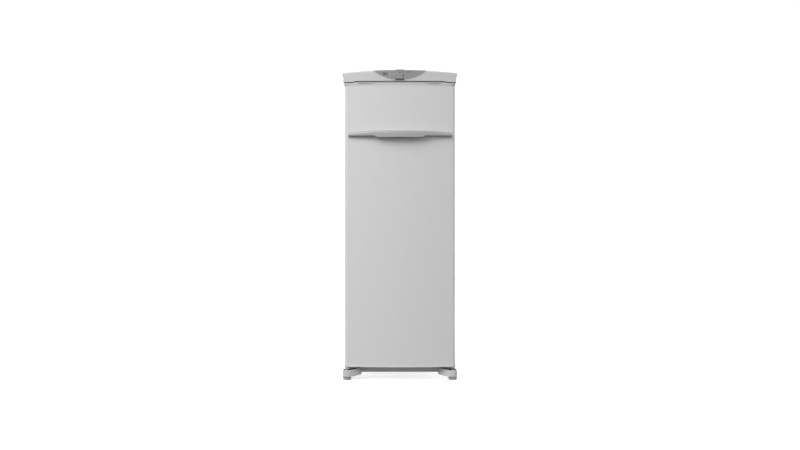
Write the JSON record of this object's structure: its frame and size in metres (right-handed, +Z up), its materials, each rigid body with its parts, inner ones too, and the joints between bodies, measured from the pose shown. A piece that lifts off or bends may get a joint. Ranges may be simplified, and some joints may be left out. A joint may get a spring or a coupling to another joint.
{
  "type": "upright freezer",
  "caption": "Tall single-door upright freezer with a bowed silver door, bow handle, crowned top with control lens, drawers inside, levelling feet and rear condenser.",
  "frame": {"origin": "centre of the overall box at floor level", "axes": "+Z up, -Y towards the user in front of the door, +X to the right seen from the front"},
  "size_m": [0.624, 0.691, 1.6857],
  "materials": {
    "silver_paint": "satin",
    "grey_paint": "satin",
    "silver_plastic": "satin",
    "grey_plastic": "satin",
    "lens_plastic": "satin",
    "light_button": "satin",
    "dark_button": "satin",
    "display_glass": "gloss",
    "light_pipe": "gloss",
    "zinc_steel": "matt zinc",
    "black_steel": "semi-gloss",
    "bright_steel": "bright",
    "rigid_foam": "matt cellular",
    "white_plastic": "satin",
    "clear_plastic": "clear",
    "shelf_glass": "clear",
    "seal_rubber": "matt",
    "black_rubber": "matt",
    "black_plastic": "matt",
    "aluminium": "plain",
    "copper": "plain",
    "circuit_board": "satin"
  },
  "bodies": {
    "cabinet": {"cabinet_shell": "silver_paint", "front_crossbar": "grey_paint", "top_cover": "silver_plastic", "foot_bracket_left": "silver_plastic", "foot_bracket_right": "silver_plastic", "control_lens": "lens_plastic", "display_window": "display_glass", "indicator_lights": "light_pipe", "back_panel": "zinc_steel", "base_pan": "zinc_steel", "compressor_tray": "zinc_steel", "top_hinge_plate": "zinc_steel", "bottom_hinge_plate": "black_steel", "compressor": "black_steel", "condenser_tube": "black_steel", "condenser_wires": "black_steel", "hinge_pins": "bright_steel", "hinge_screws": "bright_steel", "roller_axles": "bright_steel", "defrost_heater": "bright_steel", "cabinet_foam": "rigid_foam", "inner_liner": "white_plastic", "air_duct_panel": "white_plastic", "shelf_trims": "white_plastic", "flap_pivots": "white_plastic", "drain_tube": "white_plastic", "fan_bracket": "white_plastic", "glass_shelves": "shelf_glass", "compressor_grommets": "black_rubber", "starter_box": "black_plastic", "drip_pan": "black_plastic", "condenser_clips": "black_plastic", "evaporator_fins": "aluminium", "evaporator_coil": "aluminium", "refrigerant_lines": "copper", "filter_drier": "copper", "control_board": "circuit_board"},
    "door": {"door_skin": "silver_paint", "door_foam": "rigid_foam", "door_liner": "white_plastic", "door_gasket": "seal_rubber", "door_top_cap": "silver_plastic", "door_bottom_cap": "silver_plastic", "handle": "grey_plastic", "hinge_bushes": "white_plastic"},
    "fan": {"fan_blade": "white_plastic"},
    "foot_left": {"levelling_foot_left": "silver_plastic"},
    "foot_right": {"levelling_foot_right": "silver_plastic"},
    "roller_left": {"rear_roller_left": "black_plastic"},
    "roller_right": {"rear_roller_right": "black_plastic"},
    "freeze_button": {"button_freeze": "light_button"},
    "power_button": {"button_power": "dark_button"},
    "top_flap": {"flap": "clear_plastic"},
    "drawer_body_1": {"drawer_1": "clear_plastic"},
    "drawer_body_2": {"drawer_2": "clear_plastic"},
    "drawer_body_3": {"drawer_3": "clear_plastic"},
    "drawer_body_4": {"drawer_4": "clear_plastic"},
    "drawer_body_5": {"drawer_5": "clear_plastic"}
  },
  "joints": [
    {"name": "door_hinge", "type": "hinge", "parent": "cabinet", "child": "door", "pos_m": [0.29, -0.2525, 0.84], "axis": [0, 0, 1], "range_deg": [0, 120]},
    {"name": "drawer_1_slide", "type": "slide", "parent": "cabinet", "child": "drawer_body_1", "axis": [0, -1, 0], "range_m": [0, 0.21]},
    {"name": "drawer_2_slide", "type": "slide", "parent": "cabinet", "child": "drawer_body_2", "axis": [0, -1, 0], "range_m": [0, 0.21]},
    {"name": "drawer_3_slide", "type": "slide", "parent": "cabinet", "child": "drawer_body_3", "axis": [0, -1, 0], "range_m": [0, 0.21]},
    {"name": "drawer_4_slide", "type": "slide", "parent": "cabinet", "child": "drawer_body_4", "axis": [0, -1, 0], "range_m": [0, 0.21]},
    {"name": "drawer_5_slide", "type": "slide", "parent": "cabinet", "child": "drawer_body_5", "axis": [0, -1, 0], "range_m": [0, 0.21]},
    {"name": "flap_hinge", "type": "hinge", "parent": "cabinet", "child": "top_flap", "pos_m": [0, -0.1695, 1.5395], "axis": [-1, 0, 0], "range_deg": [0, 61]},
    {"name": "fan_spin", "type": "hinge", "parent": "cabinet", "child": "fan", "pos_m": [0, 0.1965, 0.727], "axis": [0, 1, 0], "continuous": true},
    {"name": "foot_left_turn", "type": "hinge", "parent": "cabinet", "child": "foot_left", "pos_m": [-0.2885, -0.2655, 0.01], "axis": [0, 0, 1], "continuous": true},
    {"name": "roller_left_spin", "type": "hinge", "parent": "cabinet", "child": "roller_left", "pos_m": [-0.262, 0.2755, 0.02], "axis": [1, 0, 0], "continuous": true},
    {"name": "foot_right_turn", "type": "hinge", "parent": "cabinet", "child": "foot_right", "pos_m": [0.2885, -0.2655, 0.01], "axis": [0, 0, 1], "continuous": true},
    {"name": "roller_right_spin", "type": "hinge", "parent": "cabinet", "child": "roller_right", "pos_m": [0.262, 0.2755, 0.02], "axis": [1, 0, 0], "continuous": true},
    {"name": "freeze_press", "type": "slide", "parent": "cabinet", "child": "freeze_button", "axis": [0, 1, 0], "range_m": [0, 0.001], "stiffness_N_per_m": 400},
    {"name": "power_press", "type": "slide", "parent": "cabinet", "child": "power_button", "axis": [0, 1, 0], "range_m": [0, 0.001], "stiffness_N_per_m": 400}
  ],
  "couplings": [
    {"joint": "drawer_1_slide", "follows": "door_hinge", "m_per_rad": 0.1},
    {"joint": "drawer_2_slide", "follows": "door_hinge", "m_per_rad": 0.1},
    {"joint": "drawer_3_slide", "follows": "door_hinge", "m_per_rad": 0.1},
    {"joint": "drawer_4_slide", "follows": "door_hinge", "m_per_rad": 0.1},
    {"joint": "drawer_5_slide", "follows": "door_hinge", "m_per_rad": 0.1},
    {"joint": "flap_hinge", "follows": "door_hinge", "ratio": 0.5}
  ]
}
